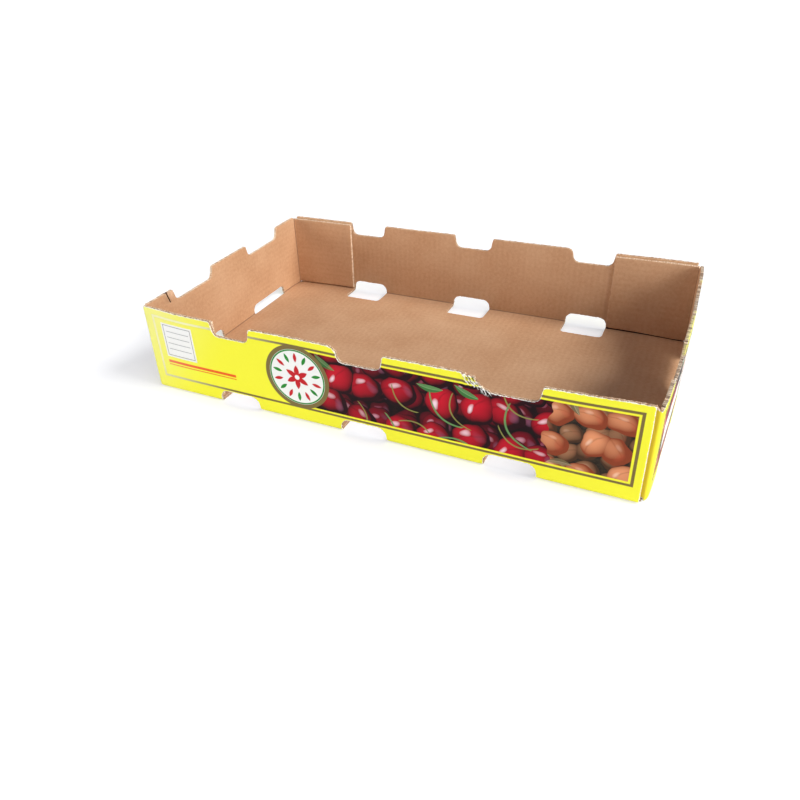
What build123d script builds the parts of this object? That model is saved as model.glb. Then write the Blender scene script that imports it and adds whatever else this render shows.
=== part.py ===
"""Shallow fruit tray folded from one die-cut sheet of corrugated board.

The blank is a base panel with a wall creased on to each of its four sides. Each end wall carries
a flap on both of its upright edges. A flap turns the corner and is glued flat to the inside of the
long wall, so the folded tray is one continuous piece of board.

Frame: X along the long side, Y across, Z up, origin at the middle of the underside.
"""
from build123d import *
from math import ceil, floor
import os

# Driving dimensions, in millimetres

# The folded tray
length = 500.0              # over the outer faces of the end walls
width = 300.0               # over the outer faces of the long walls
height = 92.0               # from the underside to the walls' top edges
fold_inside = 1.0           # inside radius of every crease

# The board: two liners with a wave of fluting between them
board = 3.5                 # full thickness
liner = 0.5                 # one liner
flute_pitch = 6.6           # one full wave
medium = 0.4                # the wavy sheet between the liners
mouth_depth = 3.0           # how far the open flutes are hollow behind a cut edge

# Notches in the top edges of the long walls
notch_count = 3
notch_spacing = 140.0
notch_mouth = 48.0
notch_draft = 3.0           # how far each side leans in on its way down
notch_depth = 15.0
notch_radius = 7.0

# Slots across the creases of the long walls, one under each notch
slot_width = 47.0
slot_height = 14.5
slot_reach = 30.0           # into the base, from the wall's outer face
slot_top_radius = 9.0
slot_base_radius = 5.0

# Notches and slots of the end walls
end_notch_count = 2
end_notch_spacing = 134.0
end_notch_mouth = 69.0
end_notch_draft = 4.0
end_notch_depth = 13.5
end_notch_radius = 7.0
end_slot_width = 70.0
end_slot_height = 14.0
end_slot_radius = 7.0

# Corners of the merlons, the stretches of full height between the notches
merlon_radius = 2.0

# The glued corner flaps
wall_setback = 5.5          # the long walls' cut ends stop this far short of the end walls' faces
flap_lift = 2.0             # gap between a flap and the base panel
flap_drop = 2.0             # a flap's top edge below the walls' top edges
flap_setback = 0.0          # a flap's free end short of the first notch and slot

# Damage
crush_run = 21.0            # crushed corner of a front merlon, along the top edge
crush_drop = 13.0           # and down its side
slit_from_notch = 10.0      # slit in the left end wall, before its front notch
slit_width = 1.2
slit_depth = 14.0

# Worked out from the driving dimensions

fold_outside = fold_inside + board
hinge_x = length / 2 - fold_outside             # where the base ends and the end walls' creases start
hinge_y = width / 2 - fold_outside              # the same for the long walls
wall_end = length / 2 - wall_setback
flap_face = width / 2 - board                   # the flaps' glued faces, on the long walls' inner faces
end_wall_edge = flap_face - fold_outside        # where the end walls' upright creases start
first_notch = notch_spacing * (notch_count - 1) / 2
flap_end = first_notch + max(notch_mouth, slot_width) / 2 + flap_setback
flap_foot = board + flap_lift
over = board                                    # how far a cutter runs past what it cuts


def centred(count, spacing):
    """Places of evenly spaced features, symmetric about zero."""
    return [spacing * (index - (count - 1) / 2) for index in range(count)]


def folded_section(leg):
    """Section of a crease and the panel it turns up.

    The crease starts at the origin on the outer face and turns from +X to +Y. The panel's end is
    at Y = leg.
    """
    outline = Line((0, 0), (0, board))
    outline += CenterArc((0, fold_outside), fold_inside, 270, 90)
    outline += Line((fold_inside, fold_outside), (fold_inside, leg))
    outline += Line((fold_inside, leg), (fold_outside, leg))
    outline += Line((fold_outside, leg), (fold_outside, fold_outside))
    outline += CenterArc((0, fold_outside), fold_outside, 270, 90)
    return make_face(outline)


def both_ends(piece):
    """The piece and its mirror image at the other end of the tray."""
    return piece + mirror(piece, about=Plane.YZ)


def both_sides(piece):
    """The piece and its mirror image on the other long side."""
    return piece + mirror(piece, about=Plane.XZ)


def base_panel():
    """Flat panel inside the four creases."""
    return Pos(0, 0, board / 2) * Box(2 * hinge_x, 2 * hinge_y, board)


def back_wall():
    """Long wall with its crease, on the +Y side."""
    section = Plane(origin=(0, hinge_y, 0), x_dir=(0, 1, 0), z_dir=(1, 0, 0)) * folded_section(height)
    return extrude(section, amount=wall_end, both=True)


def right_wall():
    """End wall with its crease, on the +X side, between its upright creases."""
    section = Plane(origin=(hinge_x, 0, 0), x_dir=(1, 0, 0), z_dir=(0, -1, 0)) * folded_section(height)
    return extrude(section, amount=end_wall_edge, both=True)


def back_right_flap():
    """Upright crease at the end of the right wall and the flap it turns along the back wall."""
    corner = Plane(origin=(length / 2, end_wall_edge, flap_foot), x_dir=(0, 1, 0), z_dir=(0, 0, 1))
    section = corner * folded_section(length / 2 - flap_end)
    return extrude(section, amount=height - flap_drop - flap_foot)


def top_cut(span, count, spacing, mouth, draft, depth, radius):
    """What the die takes off above a wall's top edge: a strip with a rounded notch at each place."""
    outline = Pos(0, height + over / 2) * Rectangle(span, over)
    for place in centred(count, spacing):
        corners = [
            (place - mouth / 2, height),
            (place - mouth / 2 + draft, height - depth),
            (place + mouth / 2 - draft, height - depth),
            (place + mouth / 2, height),
        ]
        outline += make_face(Polyline(*corners, close=True))
    floor_corners = outline.vertices().filter_by_position(Axis.Y, height - depth, height - depth)
    outline = fillet(floor_corners, radius)
    inside = spacing * (count - 1) / 2 + mouth / 2
    mouth_corners = outline.vertices().filter_by_position(Axis.Y, height, height)
    mouth_corners = mouth_corners.filter_by_position(Axis.X, -inside - 1, inside + 1)
    return fillet(mouth_corners, merlon_radius)


def long_top_cuts():
    """Notches through the top edges of both long walls."""
    outline = top_cut(
        2 * length, notch_count, notch_spacing, notch_mouth, notch_draft, notch_depth, notch_radius
    )
    return extrude(Plane.XZ * outline, amount=width, both=True)


def end_top_cuts():
    """Notches through the top edges of both end walls."""
    outline = top_cut(
        2 * width, end_notch_count, end_notch_spacing, end_notch_mouth, end_notch_draft, end_notch_depth,
        end_notch_radius
    )
    return extrude(Plane.YZ * outline, amount=length, both=True)


def rounded_far_corners(wide, near, far, radius):
    """Rectangle from Y = near to Y = far, with its two far corners rounded."""
    outline = Pos(0, (near + far) / 2) * Rectangle(wide, far - near)
    return fillet(outline.vertices().group_by(Axis.Y)[-1], radius)


def long_slots():
    """Slots across the long walls' creases, through the wall and into the base."""
    in_wall = rounded_far_corners(slot_width, -over, slot_height, slot_top_radius)
    in_base = rounded_far_corners(slot_width, -hinge_y, slot_reach - width / 2, slot_base_radius)
    cutters = []
    for place in centred(notch_count, notch_spacing):
        wall_slot = extrude(Plane.XZ * in_wall, amount=fold_outside + over)
        base_slot = extrude(in_base, amount=2 * over, both=True)
        front = Pos(place, -hinge_y, 0) * wall_slot + Pos(place, 0, 0) * base_slot
        cutters += [front, mirror(front, about=Plane.XZ)]
    return cutters


def end_slots():
    """Slots in the end walls, from their creases up."""
    outline = rounded_far_corners(end_slot_width, -over, end_slot_height, end_slot_radius)
    slot = extrude(Plane(origin=(hinge_x, 0, 0), x_dir=(0, 1, 0), z_dir=(1, 0, 0)) * outline, amount=length)
    cutters = []
    for place in centred(end_notch_count, end_notch_spacing):
        right = Pos(0, place, 0) * slot
        cutters += [right, mirror(right, about=Plane.YZ)]
    return cutters


def flute_mouths(edge, start, end):
    """Open flutes behind a cut edge that crosses them, from start to end along the edge.

    The edge's plane has its origin on one liner's face, X along the edge, Y through the board and
    Z out of the edge. A triangular mouth stands at every half wave, its base on each liner in turn
    and its tip the wavy sheet's thickness short of the other liner.
    """
    half_wave = flute_pitch / 2
    half_base = half_wave - medium
    first = ceil((start + half_wave) / half_wave)
    last = floor((end - half_wave) / half_wave)
    mouths = []
    for wave in range(first, last + 1):
        at = wave * half_wave
        base, tip = (liner, board - liner - medium) if wave % 2 else (board - liner, liner + medium)
        corners = [(at - half_base, base), (at + half_base, base), (at, tip)]
        mouths.append(extrude(edge * make_face(Polyline(*corners, close=True)), amount=-mouth_depth))
    return mouths


def wall_mouths():
    """Open flutes in the back wall: merlon tops, notch floors, and the edges of the slots."""
    top = Plane(origin=(0, flap_face, height), x_dir=(1, 0, 0), z_dir=(0, 0, 1))
    floor_edge = Plane(origin=(0, flap_face, height - notch_depth), x_dir=(1, 0, 0), z_dir=(0, 0, 1))
    slot_top = Plane(origin=(0, width / 2, slot_height), x_dir=(1, 0, 0), z_dir=(0, 0, -1))
    slot_base = Plane(origin=(0, width / 2 - slot_reach, board), x_dir=(1, 0, 0), z_dir=(0, 1, 0))
    notches = centred(notch_count, notch_spacing)
    starts = [-wall_end] + [place + notch_mouth / 2 + merlon_radius for place in notches]
    ends = [place - notch_mouth / 2 - merlon_radius for place in notches] + [wall_end]
    mouths = []
    for start, end in zip(starts, ends):
        mouths += flute_mouths(top, start, end)
    for edge, reach in (
        (floor_edge, notch_mouth / 2 - notch_draft - notch_radius),
        (slot_top, slot_width / 2 - slot_top_radius),
        (slot_base, slot_width / 2 - slot_base_radius),
    ):
        for place in notches:
            mouths += flute_mouths(edge, place - reach, place + reach)
    return mouths


def flap_mouths():
    """Open flutes in the free end of the back right flap."""
    edge = Plane(origin=(flap_end, flap_face - board, 0), x_dir=(0, 0, 1), z_dir=(-1, 0, 0))
    return flute_mouths(edge, flap_foot, height - flap_drop)


def crushed_corner():
    """What is missing from the front merlon whose corner is crushed."""
    corner = centred(notch_count, notch_spacing)[-1] - notch_mouth / 2
    slope = [
        (corner - crush_run, height),
        (corner - crush_run / 3, height - crush_drop / 2),
        (corner + merlon_radius, height - crush_drop),
        (corner + merlon_radius, height + over),
        (corner - crush_run, height + over),
    ]
    on_inner_face = Plane(origin=(0, -flap_face, 0), x_dir=(1, 0, 0), z_dir=(0, -1, 0))
    return extrude(on_inner_face * make_face(Polyline(*slope, close=True)), amount=board)


def slit():
    """Slit down from the top edge of the left end wall."""
    notch = centred(end_notch_count, end_notch_spacing)[0] - end_notch_mouth / 2
    middle = height - slit_depth / 2 + over / 2
    return Pos(-length / 2, notch - slit_from_notch, middle) * Box(2 * over, slit_width, slit_depth + over)


if __name__ == "__main__":
    os.makedirs("parts", exist_ok=True)
    tray = base_panel() + both_sides(back_wall()) + both_ends(right_wall())
    tray += both_ends(both_sides(back_right_flap()))
    tray -= long_top_cuts()
    tray -= end_top_cuts()
    tray -= long_slots()
    tray -= end_slots()
    on_back = wall_mouths()
    on_flap = flap_mouths()
    on_flap += [mirror(mouth, about=Plane.YZ) for mouth in on_flap]
    open_flutes = on_back + on_flap
    open_flutes += [mirror(mouth, about=Plane.XZ) for mouth in open_flutes]
    tray -= open_flutes
    tray -= crushed_corner()
    tray -= slit()
    print("tray", round(tray.volume), len(tray.solids()), tray.bounding_box().size)
    export_step(tray, "parts/tray.step")
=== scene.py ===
# %% [markdown]
# # A fruit tray folded from one sheet of corrugated board
#
# The real tray starts as one flat blank of single-wall board: two liners, the flat papers, glued to
# a wave of fluting. A die cuts its outline, notches and slots and presses its creases. The four walls
# are turned up, and the flaps at the ends of the short walls are glued inside the long ones.
#
# A box with a picture of cardboard on it would be wrong wherever the board is cut, and this tray is
# nearly all cut edges. So the lesson follows the factory: it draws each paper on the flat blank, with
# its own wave or ripple, and folds the three papers with one formula. Every open flute at an edge is
# then a real hole between real papers.

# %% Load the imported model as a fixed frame
import math

import bpy
import numpy as np
from mathutils import Matrix, Vector


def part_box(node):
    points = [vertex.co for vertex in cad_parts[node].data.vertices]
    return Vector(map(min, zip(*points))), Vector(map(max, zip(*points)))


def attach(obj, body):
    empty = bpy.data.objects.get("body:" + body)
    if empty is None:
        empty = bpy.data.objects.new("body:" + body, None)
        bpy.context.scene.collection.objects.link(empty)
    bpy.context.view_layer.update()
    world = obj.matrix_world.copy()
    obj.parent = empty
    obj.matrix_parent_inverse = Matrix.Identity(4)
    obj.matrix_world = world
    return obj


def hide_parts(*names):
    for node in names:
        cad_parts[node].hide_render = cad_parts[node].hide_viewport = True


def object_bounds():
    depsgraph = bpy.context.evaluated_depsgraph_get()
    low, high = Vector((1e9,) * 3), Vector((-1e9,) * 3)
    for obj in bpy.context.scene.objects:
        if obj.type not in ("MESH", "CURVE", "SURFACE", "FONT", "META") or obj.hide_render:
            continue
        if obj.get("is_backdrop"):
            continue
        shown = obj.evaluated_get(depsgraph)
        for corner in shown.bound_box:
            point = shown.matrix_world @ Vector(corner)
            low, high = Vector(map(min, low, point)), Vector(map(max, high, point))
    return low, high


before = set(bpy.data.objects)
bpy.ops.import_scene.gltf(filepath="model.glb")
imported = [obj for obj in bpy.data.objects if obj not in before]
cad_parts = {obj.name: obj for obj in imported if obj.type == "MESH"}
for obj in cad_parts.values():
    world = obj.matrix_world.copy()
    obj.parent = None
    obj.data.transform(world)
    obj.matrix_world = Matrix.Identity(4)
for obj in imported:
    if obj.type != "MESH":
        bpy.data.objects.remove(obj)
cad_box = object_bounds()
print("the packed model's nodes:", sorted(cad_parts))

# %% [markdown]
# ## Sizes
#
# The length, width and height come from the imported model. The other sizes are the board's and the
# die's own, in millimetres, and the last group is worked out from them. Everything below is drawn in
# millimetres and becomes metres only when a mesh is made.

# %% The board and the die
mm = 0.001
lowest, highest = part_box("tray")
length, width, height = ((highest[axis] - lowest[axis]) / mm for axis in range(3))

board = 3.5                 # full thickness
liner = 0.4
medium = 0.3                # the wavy sheet
flute_pitch = 6.6
fold_inside = 1.0

notches = dict(count=3, spacing=140.0, mouth=48.0, draft=3.0, depth=15.0, floor=7.0, lip=2.0)
slots = dict(width=47.0, height=14.5, reach=30.0, top_radius=9.0, base_radius=5.0)
end_notches = dict(count=2, spacing=134.0, mouth=69.0, draft=4.0, depth=13.5, floor=7.0, lip=2.0)
end_slots = dict(width=70.0, height=14.0, top_radius=7.0)

wall_setback = 5.5          # the long walls' cut ends stop this far short of the end walls' faces
flap_lift = 2.0             # gap between a flap and the base
flap_drop = 2.0             # a flap's top edge below the walls' top edges
glue_line = 0.1             # between a flap and the wall that it is glued to

fold_outside = fold_inside + board
crease_run = fold_outside * math.pi / 2         # length of the outer face round a crease
hinge_x = length / 2 - fold_outside
hinge_y = width / 2 - fold_outside
wall_end = length / 2 - wall_setback
end_wall_edge = width / 2 - board - fold_outside
flap_foot = board + flap_lift
slot_near = width / 2 - slots["reach"] + slots["base_radius"]   # where a slot's sides end in the base
print(f"tray {length:.0f} x {width:.0f} x {height:.0f} mm, creases at {hinge_x} and {hinge_y} mm")

# %% [markdown]
# ## Edges cut by the die
#
# A notch or a slot is the same to both sides of its middle, so half of its edge is enough: a list of
# distances from the middle and a height for each. The rounded corners are circle arcs. Between the
# listed points the edge is straight, which numpy's `interp` gives for any number of places at once.

# %% Half edges of notches and slots
arc_steps = 5


def notch_edge(mouth, draft, depth, floor, lip, **_):
    """Half of a notch: distances from its middle, and heights against the wall's top edge.

    The side leans by atan(depth / draft). An arc of radius r that joins it to a level line starts
    r * tan(lean / 2) before their corner, and its points are r * sin t along and r * (1 - cos t) up.
    """
    lean = math.atan2(depth, draft)
    turn = np.linspace(0, lean, arc_steps)
    floor_start = mouth / 2 - draft - floor * math.tan(lean / 2)
    lip_end = mouth / 2 + lip * math.tan(lean / 2)
    along = np.concatenate([floor_start + floor * np.sin(turn), lip_end - lip * np.sin(turn[::-1])])
    up = np.concatenate([floor * (1 - np.cos(turn)) - depth, -lip * (1 - np.cos(turn[::-1]))])
    return along, up


def slot_edge(wide, radius):
    """Half of a slot's end: distances from its middle, and how far the edge lies inside the slot's end.

    A quarter circle: the edge is 0 up to the arc, and radius * (1 - cos t) at radius * sin t past it.
    """
    turn = np.linspace(0, math.pi / 2, arc_steps + 1)
    return wide / 2 - radius + radius * np.sin(turn), radius * (1 - np.cos(turn))


def places_of(opening):
    """Middles of evenly spaced openings, symmetric about zero."""
    return opening["spacing"] * (np.arange(opening["count"]) - (opening["count"] - 1) / 2)


def edge_at(position, places, half_edge):
    """Height of a repeated edge: distance to the nearest middle, looked up in the half edge."""
    distance = np.abs(np.subtract.outer(position, places)).min(axis=-1)
    return np.interp(distance, *half_edge)


long_places = places_of(notches)
end_places = places_of(end_notches)
notch_half = notch_edge(**notches)
end_notch_half = notch_edge(**end_notches)
slot_top_half = slot_edge(slots["width"], slots["top_radius"])
slot_base_half = slot_edge(slots["width"], slots["base_radius"])
end_slot_half = slot_edge(end_slots["width"], end_slots["top_radius"])
print("a long wall's notch, from its middle:", np.round(np.stack(notch_half, axis=1), 1).tolist())

# %% [markdown]
# ## Wear along the top edges
#
# The tray has been used. The walls' stretches between the notches are called merlons, as on a castle.
# One merlon of the front wall has a crushed corner and three others, on three walls, are rubbed round.
# Each is a broken line that the top edge can't rise above. The left end wall is also slit beside its
# first notch, and the slit is cut later, out of the finished band.

# %% Worn places, as steps along a wall from a merlon's corner and drops from its top edge
crushed = long_places[2] - notches["mouth"] / 2
rubbed_front = long_places[1] - notches["mouth"] / 2
rubbed_left = end_places[0] - end_notches["mouth"] / 2
slit_place = rubbed_left - 10.0
slit_half, slit_floor = 0.6, height - 13.0
crushed_drops = (
    (-21, 0), (-19, 1.0), (-17.3, 0.4), (-15.4, 2.0), (-13.2, 1.0), (-11.6, 2.6), (-9.2, 1.8),
    (-8.0, 5.0), (-5.8, 6.2), (-4.4, 9.0), (-2.2, 9.8), (-0.6, 12.2), (2.0, 13.2), (4.5, 14.8),
)


def worn_line(corner, drops):
    """Points of a worn line: corner + step along the wall, at height - drop."""
    return [(corner + step, height - drop) for step, drop in drops]


wear = {
    "front": [
        worn_line(crushed, crushed_drops),
        worn_line(rubbed_front, ((-7, 0), (-2.5, 1.4), (0.6, 5))),
    ],
    "back": [worn_line(crushed, ((-5, 0), (-1.5, 1.2), (0.6, 4)))],
    "left": [worn_line(rubbed_left, ((-1.0, 0), (-0.2, 0.7), (0.6, 3)))],
    "right": [],
}


def top_of(wall, position, places, half_edge):
    """Height of a wall's top edge: its notches, and no higher than any worn line over its own stretch."""
    top = height + edge_at(position, places, half_edge)
    for line in wear[wall]:
        along, up = np.array(line).T
        top = np.minimum(top, np.interp(position, along, up, left=np.inf, right=np.inf))
    return top


print("worn lines:", {wall: len(lines) for wall, lines in wear.items()})

# %% [markdown]
# ## The flat blank as patches
#
# The blank is laid out flat with its outer face down: s runs along the tray and v across it. Each
# stretch between two edges is a patch, a grid whose lines go from one edge to the other. The lines
# pass through every corner of the outline, so notches and slots are cut exactly, and they stand
# close enough together to carry the ripple of the flutes, which run along v over the whole sheet.

# %% Grid lines, patches and their weld
edge_rows = (0.0, 0.5, 1.2, 2.4, 4.5)      # distances from a cut edge, where the papers pinch together
rounding = 1e-6
hair = 1e-3                                # places closer than this are one place


def grid_lines(start, end, step, marks):
    """Positions from start to end: every mark, and each multiple of step that keeps clear of the marks."""
    marks = np.unique(np.round(np.concatenate([[start, end], *marks]), 3))
    marks = marks[(marks >= start - rounding) & (marks <= end + rounding)]
    regular = step * np.arange(math.ceil(start / step), math.floor(end / step) + 1)
    clear = np.abs(np.subtract.outer(regular, marks)).min(axis=1) > 0.35 * step
    return np.sort(np.concatenate([marks, regular[clear]]))


def around(places, half_edge):
    """Marks at every corner of a repeated edge, to both sides of each middle."""
    return np.add.outer(places, np.concatenate([-half_edge[0], half_edge[0]])).ravel()


def spans_between(places, half, end):
    """Stretches from -end to end that lie between openings of the given half width."""
    edges = np.stack([places - half, places + half], axis=1).ravel()
    return np.concatenate([[-end], edges, [end]]).reshape(-1, 2)


def from_edge(far, step):
    """Distances from a cut edge to the far side: the close rows first, then even steps."""
    close = [row for row in edge_rows if row < far / 2]
    even = np.linspace(close[-1], far, max(2, math.ceil((far - close[-1]) / step) + 1))
    return np.concatenate([close[:-1], even]) / far


def between(lower, upper, shares):
    """Lines from lower to upper: a table with one row for each share of the way."""
    return lower + np.multiply.outer(shares, upper - lower)


def patch(s, v):
    """Points and four-sided faces of a grid, from its tables of s and v. Faces turn the same way."""
    s, v = np.broadcast_arrays(s, v)
    index = np.arange(s.size).reshape(s.shape)
    faces = np.stack([index[:-1, :-1], index[1:, :-1], index[1:, 1:], index[:-1, 1:]], axis=-1)
    turned = (s[-1, 0] - s[0, 0]) * (v[0, -1] - v[0, 0]) - (s[0, -1] - s[0, 0]) * (v[-1, 0] - v[0, 0]) < 0
    faces = faces.reshape(-1, 4)
    return np.column_stack([s.ravel(), v.ravel()]), faces[:, ::-1] if turned else faces


def welded(patches):
    """One mesh from many patches: points that fall together, to a thousandth, become one."""
    counts = np.cumsum([0] + [len(points) for points, _ in patches])
    points = np.concatenate([points for points, _ in patches])
    faces = np.concatenate([faces + start for (_, faces), start in zip(patches, counts)])
    _, first, where = np.unique(np.round(points, 3), axis=0, return_index=True, return_inverse=True)
    return points[first], where.ravel()[faces]


# %% [markdown]
# The base and the two long walls are one band with its grid lines along v. From the middle of the
# base outwards it has a strip up to the slots, the strip between them, the crease, the foot of the
# wall, the stretch round the slots' tops, and the rest of the wall up to its notched edge.

# %% The long band: base, creases and long walls
above_slots, beside_slots = 4.0, 16.0
shoulder = slots["height"] + above_slots    # a level line just above the slots
inner_line = slot_near - beside_slots       # and one in the base, inside the slots
crease_rows = 7                             # grid lines across a crease


def sheet_line(level, hinge):
    """Where a height on a standing wall lies on the flat blank."""
    return hinge + crease_run + level - fold_outside


def long_side(side, wall, on_base, row_step):
    """Patches of one long wall, its crease and the strip of base beside it. side is -1 for the front."""
    columns = on_base[np.abs(on_base) <= wall_end + rounding]
    shoulder_line = sheet_line(shoulder, hinge_y)
    foot_line = sheet_line(slots["height"] - slots["top_radius"], hinge_y)
    arch = sheet_line(slots["height"] - edge_at(columns, long_places, slot_top_half), hinge_y)
    top = sheet_line(top_of(wall, columns, long_places, notch_half), hinge_y)
    bay = width / 2 - slots["reach"] + edge_at(on_base, long_places, slot_base_half)
    base_rows = 1 - from_edge(beside_slots, row_step)[::-1]
    wall_rows = 1 - from_edge(height - shoulder, row_step)[::-1]
    tables = [
        (on_base, between(np.full(len(on_base), inner_line), bay, base_rows)),
        (columns, between(arch, np.full(len(columns), shoulder_line), from_edge(above_slots, 3.0))),
        (columns, between(np.full(len(columns), shoulder_line), top, wall_rows)),
    ]
    between_slots = np.linspace(slot_near, hinge_y, 4)
    crease_and_foot = np.append(np.linspace(hinge_y, hinge_y + crease_run, crease_rows), foot_line)
    for start, end in spans_between(long_places, slots["width"] / 2, hinge_x):
        own_base = on_base[(on_base >= start - hair) & (on_base <= end + hair)]
        own = own_base[np.abs(own_base) <= wall_end + rounding]
        tables.append((own_base, np.repeat(between_slots[:, None], len(own_base), axis=1)))
        tables.append((own, np.repeat(crease_and_foot[:, None], len(own), axis=1)))
    return [patch(s[:, None], side * table.T) for s, table in tables]


def long_band(samples, row_step):
    """The band as one flat mesh, with this many grid lines to each wave of the fluting."""
    worn = [[point[0] for line in wear[wall] for point in line] for wall in ("front", "back")]
    marks = [around(long_places, half) for half in (notch_half, slot_top_half, slot_base_half)]
    on_base = grid_lines(-hinge_x, hinge_x, flute_pitch / samples, [*marks, *worn, [-wall_end, wall_end]])
    middle_rows = np.linspace(-inner_line, inner_line, math.ceil(inner_line / row_step))
    middle = patch(on_base[:, None], np.repeat(middle_rows[None, :], len(on_base), axis=0))
    front, back = (long_side(side, wall, on_base, row_step) for side, wall in ((-1, "front"), (1, "back")))
    return welded([middle, *front, *back])


band_points, band_faces = long_band(4, 8.0)
print("long band:", len(band_points), "points,", len(band_faces), "faces")

# %% [markdown]
# An end wall is a band too, but here the flutes run level, so its close grid lines are the level
# ones. Its two flaps carry on past its upright edges, and share its level lines.

# %% The end bands: crease, end wall and its two flaps
end_shoulder = end_slots["height"] + above_slots
flap_length = hinge_x - (long_places[-1] + notches["mouth"] / 2)
flap_end_line = end_wall_edge + crease_run + flap_length
corner_dips = {"left": 0.3, "right": 2.6}   # the upright creases are nicked this deep at their tops
dip_reach = 14.0
# Under the upright crease a strip of board reaches down outside the base: shares of the way round the
# upright crease, and where the strip's lower edge lies on the level crease
strip_outline = ([0, 0.5, 0.67, 0.83, 1], [1 / 3, 0.48, 0.7, 0.95, 1.1])


def end_columns(side, wall, column_step):
    """Upright grid lines of an end wall: close ones beside its slots, and one at every mark."""
    beside = end_slots["width"] / 2 + np.array([0.7, 1.6, 3.2])
    close = around(end_places, (beside,))
    worn = [point[0] for line in wear[wall] for point in line]
    lips = [slit_place - slit_half, slit_place + slit_half] if side < 0 else []
    ends = [1 - end_wall_edge, end_wall_edge - 1]
    marks = [around(end_places, end_notch_half), around(end_places, end_slot_half), close, worn, lips, ends]
    return grid_lines(-end_wall_edge, end_wall_edge, column_step, marks)


def end_side(side, wall, level_step, column_step):
    """Patches of one end wall, its crease and both flaps. side is -1 for the left end."""
    columns = end_columns(side, wall, column_step)
    top = top_of(wall, columns, end_places, end_notch_half)
    top = np.where(np.abs(columns) > end_wall_edge - 0.5, height - flap_drop, top)
    arch = end_slots["height"] - edge_at(columns, end_places, end_slot_half)
    spring = end_slots["height"] - end_slots["top_radius"]
    wall_rows = 1 - from_edge(height - end_shoulder, level_step)[::-1]
    arch_rows = from_edge(end_shoulder - spring, level_step)
    lower = sheet_line(between(arch, np.full(len(columns), end_shoulder), arch_rows), hinge_x)
    upper = sheet_line(between(np.full(len(columns), end_shoulder), top, wall_rows), hinge_x)
    tables = [(lower, columns), (upper, columns)]
    foot = sheet_line(np.array([fold_outside, flap_foot, spring]), hinge_x)
    crease = np.concatenate([np.linspace(hinge_x, hinge_x + crease_run, crease_rows)[:-1], foot])
    for start, end in spans_between(end_places, end_slots["width"] / 2, end_wall_edge):
        own = columns[(columns >= start - hair) & (columns <= end + hair)]
        tables.append((np.repeat(crease[:, None], len(own), axis=1), own))
    levels = np.concatenate([foot[1:], lower[1:, -1], upper[1:, -1]])
    over_crease = np.linspace(end_wall_edge, end_wall_edge + crease_run, crease_rows)
    flap = flap_end_line - (flap_end_line - over_crease[-1]) * from_edge(flap_length, 2 * column_step)[::-1]
    out = np.concatenate([over_crease[:-1], flap])
    round_crease = np.clip((out - end_wall_edge) / crease_run, 0, 1)
    sunk = corner_dips[wall] * (1 - np.abs(round_crease * 2 - 1))
    near_top = np.clip(1 - (levels[-1] - levels) / dip_reach, 0, 1)
    upright = levels[:, None] - np.multiply.outer(near_top, sunk)
    strip_rows = crease[2:crease_rows + 1]
    strip_foot = hinge_x + crease_run * np.interp(np.linspace(0, 1, crease_rows), *strip_outline)
    shares = (strip_rows - strip_rows[0]) / (strip_rows[-1] - strip_rows[0])
    strip = between(strip_foot, np.full(crease_rows, strip_rows[-1]), shares)
    tables += [(upright, out), (upright, -out), (strip, over_crease), (strip, -over_crease)]
    return [patch(side * s, v[None, :]) for s, v in tables]


def slit_open(points, faces):
    """The left end band without its faces inside the slit: those whose middle lies there."""
    middle = points[faces].mean(axis=1)
    level = -middle[:, 0] - sheet_line(0.0, hinge_x)
    inside = (np.abs(middle[:, 1] - slit_place) < slit_half) & (level > slit_floor)
    return points, faces[~inside]


band_points, band_faces = welded(end_side(1, "right", flute_pitch / 5, 8.0))
print("right end band:", len(band_points), "points,", len(band_faces), "faces")

# %% [markdown]
# ## Folding
#
# A crease turns the sheet a quarter circle about a line on its inner side. A point deeper in the
# board is nearer to that line, so its circle is smaller: depth 0 is the outer face, and the inner one
# lies at the board's full thickness. One formula serves every crease, and the end bands use it twice,
# for wall and flap.

# %% The fold as a formula


def bend(distance, hinge, depth):
    """How far out and how high a point lies. The sheet is level up to the hinge, then turns a quarter
    circle of radius fold_outside - depth, then stands: its height grows with the distance."""
    turn = np.clip((distance - hinge) / crease_run, 0, 1) * math.pi / 2
    radius = fold_outside - depth
    out = np.minimum(distance, hinge) + radius * np.sin(turn)
    up = fold_outside - radius * np.cos(turn) + np.maximum(distance - hinge - crease_run, 0)
    return out, up


def fold_long(s, v, depth):
    """The long band folded: its walls turn up about lines along X."""
    y, z = bend(np.abs(v), hinge_y, depth)
    return np.column_stack([s, np.sign(v) * y, z])


def fold_end(s, v, depth):
    """An end band folded: the wall turns up about a line along Y, the flaps in about upright lines."""
    x, z = bend(np.abs(s), hinge_x, depth)
    y, inward = bend(np.abs(v), end_wall_edge, depth)
    glued = np.clip((np.abs(v) - end_wall_edge) / crease_run, 0, 1) * glue_line
    return np.column_stack([np.sign(s) * (x - (inward - depth)), np.sign(v) * (y - glued), z])


far_up = fold_end(np.array([length]), np.array([0.0]), np.array([0.0]))
print("a point far up the right wall stands at x =", far_up[0, 0])

# %% [markdown]
# ## A tray that has been handled
#
# Folded board is never quite square. The back wall springs out a little, the front and right walls
# bow, and the front wall's ends stand a little high. The end wall is bent beside the slit, and the
# crushed corner is creased in ridges. These are smooth shifts of the folded points, the same for all
# three papers, so they stay together.

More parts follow.
